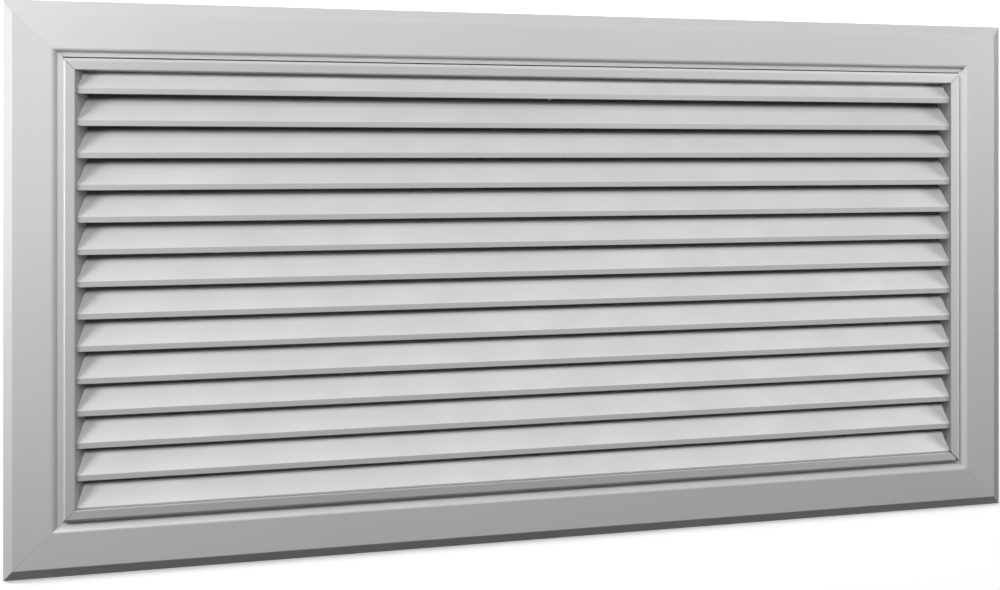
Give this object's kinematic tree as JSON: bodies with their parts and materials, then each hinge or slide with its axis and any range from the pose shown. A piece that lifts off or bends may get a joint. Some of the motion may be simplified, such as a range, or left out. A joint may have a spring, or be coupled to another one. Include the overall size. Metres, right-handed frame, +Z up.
{
  "type": "louvred air grille",
  "caption": "Rectangular wall grille: bevelled mitred frame around a bottom-hinged core of fixed sloping blades.",
  "frame": {"origin": "middle of the wall opening, on the wall plane that the flange's back rests on", "axes": "+X to the right, +Y into the wall, +Z up"},
  "size_m": [0.672, 0.0413, 0.3584],
  "materials": {
    "frame_satin": "satin anodised, fine extrusion grain",
    "core_satin": "satin anodised, fine extrusion grain",
    "blade_satin": "satin anodised sheet",
    "mill_aluminium": "mill finish",
    "zinc_steel": "zinc plated",
    "foam": "closed cell foam",
    "nylon": "natural nylon",
    "catch_plastic": "moulded",
    "ferrite": "sintered ferrite"
  },
  "bodies": {
    "frame": {"frame_top_rail": "frame_satin", "frame_right_stile": "frame_satin", "frame_bottom_rail": "frame_satin", "frame_left_stile": "frame_satin", "frame_cleat_top_left": "mill_aluminium", "frame_cleat_top_right": "mill_aluminium", "frame_cleat_bottom_right": "mill_aluminium", "frame_cleat_bottom_left": "mill_aluminium", "frame_cleat_screws": "zinc_steel", "wall_gasket_top": "foam", "wall_gasket_right": "foam", "wall_gasket_bottom": "foam", "wall_gasket_left": "foam", "stop_angle_top": "mill_aluminium", "stop_seal_top": "foam", "stop_angle_left": "mill_aluminium", "stop_seal_left": "foam", "stop_angle_right": "mill_aluminium", "stop_seal_right": "foam", "stop_angle_rivets": "mill_aluminium", "hinge_bush_left": "nylon", "catch_housing_left": "catch_plastic", "catch_magnet_left": "ferrite", "hinge_bush_right": "nylon", "catch_housing_right": "catch_plastic", "catch_magnet_right": "ferrite", "catch_screws": "zinc_steel"},
    "core": {"core_top_rail": "core_satin", "core_right_stile": "core_satin", "core_bottom_rail": "core_satin", "core_left_stile": "core_satin", "blade_01": "blade_satin", "blade_02": "blade_satin", "blade_03": "blade_satin", "blade_04": "blade_satin", "blade_05": "blade_satin", "blade_06": "blade_satin", "blade_07": "blade_satin", "blade_08": "blade_satin", "blade_09": "blade_satin", "blade_10": "blade_satin", "blade_11": "blade_satin", "blade_12": "blade_satin", "blade_13": "blade_satin", "blade_14": "blade_satin", "hinge_pin_left": "zinc_steel", "catch_keeper_left": "zinc_steel", "hinge_pin_right": "zinc_steel", "catch_keeper_right": "zinc_steel", "catch_keeper_rivets": "mill_aluminium", "core_key_top_left": "mill_aluminium", "core_key_top_right": "mill_aluminium", "core_key_bottom_right": "mill_aluminium", "core_key_bottom_left": "mill_aluminium", "blade_support_bar": "mill_aluminium", "support_bar_rivets": "mill_aluminium"}
  },
  "joints": [
    {"name": "core_hinge", "type": "hinge", "parent": "frame", "child": "core", "pos_m": [0, -0.0024, -0.1272], "axis": [1, 0, 0], "range_deg": [0, 140]}
  ]
}
